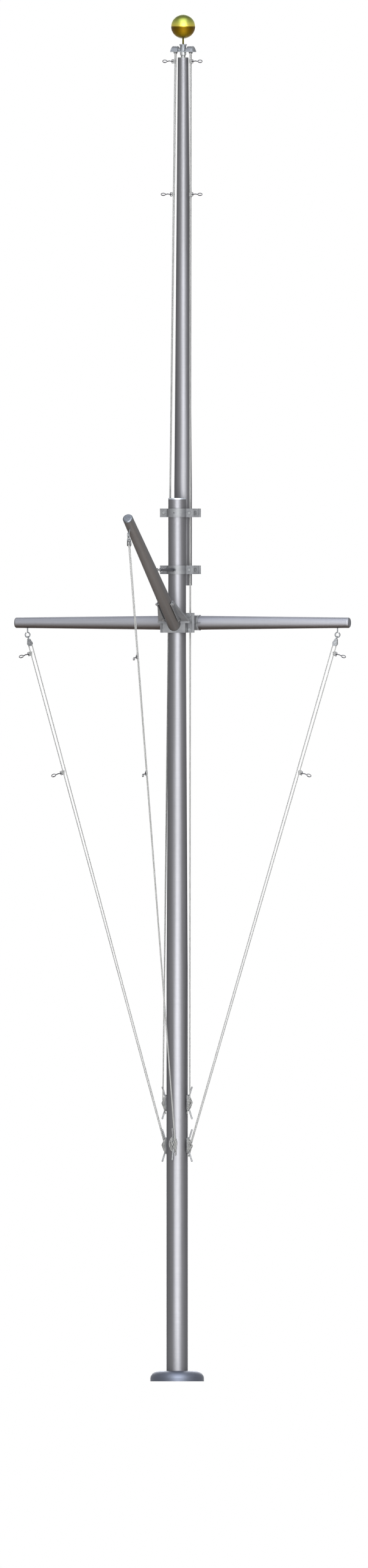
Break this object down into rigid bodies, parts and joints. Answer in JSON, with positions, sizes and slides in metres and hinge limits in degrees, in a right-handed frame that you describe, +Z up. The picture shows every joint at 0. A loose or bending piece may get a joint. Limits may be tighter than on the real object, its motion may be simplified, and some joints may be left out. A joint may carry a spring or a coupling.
{
  "type": "flagpole",
  "caption": "Nautical flagpole: tapered mast with a doubled topmast, yardarm, braced gaff, hooded truck with ball, taut halyards with swivel snaps, and cleats.",
  "frame": {"origin": "ground level on the lower mast's axis, on the flat underside of the foot plug", "axes": "+Z up the mast, +X along the yardarm, -Y towards the gaff, +Y towards the topmast and yardarm"},
  "size_m": [2.524, 1.3456, 9.7774],
  "materials": {
    "mast_aluminium": "satin",
    "spun_aluminium": "spun satin",
    "cast_aluminium": "sand cast",
    "stainless_steel": "polished",
    "dark_steel": "blackened",
    "gold_anodised": "gold anodised",
    "halyard_braid": "braided",
    "snap_steel": "dull",
    "sheave_plastic": "moulded"
  },
  "bodies": {
    "pole": {"ball": "gold_anodised", "ball_rod": "gold_anodised", "block_pins": "stainless_steel", "block_shells": "stainless_steel", "cleat_hitches": "halyard_braid", "cleat_screws": "stainless_steel", "doubling_bolts": "stainless_steel", "doubling_saddles": "cast_aluminium", "doubling_straps_front": "cast_aluminium", "doubling_straps_rear": "cast_aluminium", "flash_collar": "spun_aluminium", "gaff": "mast_aluminium", "gaff_bolts": "stainless_steel", "gaff_brace_lug": "cast_aluminium", "gaff_brace_pin": "stainless_steel", "gaff_brace_rods": "stainless_steel", "gaff_brace_tube": "dark_steel", "gaff_bracket": "cast_aluminium", "gaff_end_cap": "mast_aluminium", "gaff_halyard": "halyard_braid", "lower_mast": "mast_aluminium", "lower_mast_cap": "mast_aluminium", "mast_cleats": "cast_aluminium", "mast_foot_plug": "mast_aluminium", "screw_eyes": "stainless_steel", "snap_eyes": "snap_steel", "snap_knots": "halyard_braid", "topmast": "mast_aluminium", "topmast_foot_plug": "mast_aluminium", "topmast_halyard_left": "halyard_braid", "topmast_halyard_right": "halyard_braid", "truck_axles": "stainless_steel", "truck_body": "cast_aluminium", "truck_spindle": "cast_aluminium", "yard_clamp_bolts": "stainless_steel", "yard_clamp_rear": "cast_aluminium", "yard_end_caps": "mast_aluminium", "yard_halyard_left": "halyard_braid", "yard_halyard_right": "halyard_braid", "yardarm": "mast_aluminium"},
    "gaff_block_sheave": {"gaff_block_sheave": "sheave_plastic"},
    "truck_sheave_left": {"truck_sheave_left": "sheave_plastic"},
    "truck_sheave_right": {"truck_sheave_right": "sheave_plastic"},
    "yard_left_block_sheave": {"yard_left_block_sheave": "sheave_plastic"},
    "yard_right_block_sheave": {"yard_right_block_sheave": "sheave_plastic"},
    "gaff_lower_snap": {"gaff_lower_snap_hook": "snap_steel"},
    "gaff_upper_snap": {"gaff_upper_snap_hook": "snap_steel"},
    "topmast_left_lower_snap": {"topmast_left_lower_snap_hook": "snap_steel"},
    "topmast_left_upper_snap": {"topmast_left_upper_snap_hook": "snap_steel"},
    "topmast_right_lower_snap": {"topmast_right_lower_snap_hook": "snap_steel"},
    "topmast_right_upper_snap": {"topmast_right_upper_snap_hook": "snap_steel"},
    "yard_left_lower_snap": {"yard_left_lower_snap_hook": "snap_steel"},
    "yard_left_upper_snap": {"yard_left_upper_snap_hook": "snap_steel"},
    "yard_right_lower_snap": {"yard_right_lower_snap_hook": "snap_steel"},
    "yard_right_upper_snap": {"yard_right_upper_snap_hook": "snap_steel"}
  },
  "joints": [
    {"name": "gaff_block_sheave_spin", "type": "hinge", "parent": "pole", "child": "gaff_block_sheave", "pos_m": [0.00024, -1.07102, 5.99665], "axis": [1, -0.0009, 0.004], "continuous": true},
    {"name": "truck_sheave_left_spin", "type": "hinge", "parent": "pole", "child": "truck_sheave_left", "pos_m": [-0.057, 0.1334, 9.517], "axis": [1, 0, 0], "continuous": true},
    {"name": "truck_sheave_right_spin", "type": "hinge", "parent": "pole", "child": "truck_sheave_right", "pos_m": [0.057, 0.1334, 9.517], "axis": [1, 0, 0], "continuous": true},
    {"name": "yard_left_block_sheave_spin", "type": "hinge", "parent": "pole", "child": "yard_left_block_sheave", "pos_m": [-1.15256, 0.11951, 5.284], "axis": [0.0077, 0.9996, -0.0261], "continuous": true},
    {"name": "yard_right_block_sheave_spin", "type": "hinge", "parent": "pole", "child": "yard_right_block_sheave", "pos_m": [1.15256, 0.11951, 5.284], "axis": [-0.0077, 0.9996, -0.0261], "continuous": true},
    {"name": "gaff_lower_snap_swivel", "type": "hinge", "parent": "pole", "child": "gaff_lower_snap", "pos_m": [0.00708, -0.7283, 4.34762], "axis": [0.0009, -0.9752, -0.2212], "continuous": true},
    {"name": "gaff_upper_snap_swivel", "type": "hinge", "parent": "pole", "child": "gaff_upper_snap", "pos_m": [0.00361, -0.91914, 5.18104], "axis": [0.0009, -0.9752, -0.2212], "continuous": true},
    {"name": "topmast_left_lower_snap_swivel", "type": "hinge", "parent": "pole", "child": "topmast_left_lower_snap", "pos_m": [-0.08405, 0.10005, 8.49061], "axis": [-1, 0.0001, 0.0059], "continuous": true},
    {"name": "topmast_left_upper_snap_swivel", "type": "hinge", "parent": "pole", "child": "topmast_left_upper_snap", "pos_m": [-0.07844, 0.11799, 9.44242], "axis": [-1, 0.0001, 0.0059], "continuous": true},
    {"name": "topmast_right_lower_snap_swivel", "type": "hinge", "parent": "pole", "child": "topmast_right_lower_snap", "pos_m": [0.08405, 0.10005, 8.49061], "axis": [1, 0.0001, 0.0059], "continuous": true},
    {"name": "topmast_right_upper_snap_swivel", "type": "hinge", "parent": "pole", "child": "topmast_right_upper_snap", "pos_m": [0.07844, 0.11799, 9.44242], "axis": [1, 0.0001, 0.0059], "continuous": true},
    {"name": "yard_left_lower_snap_swivel", "type": "hinge", "parent": "pole", "child": "yard_left_lower_snap", "pos_m": [-0.91057, 0.09305, 4.34968], "axis": [-0.9593, -0.008, -0.2821], "continuous": true},
    {"name": "yard_left_upper_snap_swivel", "type": "hinge", "parent": "pole", "child": "yard_left_upper_snap", "pos_m": [-1.16326, 0.11725, 5.20062], "axis": [-0.9593, -0.008, -0.2821], "continuous": true},
    {"name": "yard_right_lower_snap_swivel", "type": "hinge", "parent": "pole", "child": "yard_right_lower_snap", "pos_m": [0.91057, 0.09305, 4.34968], "axis": [0.9593, -0.008, -0.2821], "continuous": true},
    {"name": "yard_right_upper_snap_swivel", "type": "hinge", "parent": "pole", "child": "yard_right_upper_snap", "pos_m": [1.16326, 0.11725, 5.20062], "axis": [0.9593, -0.008, -0.2821], "continuous": true}
  ]
}
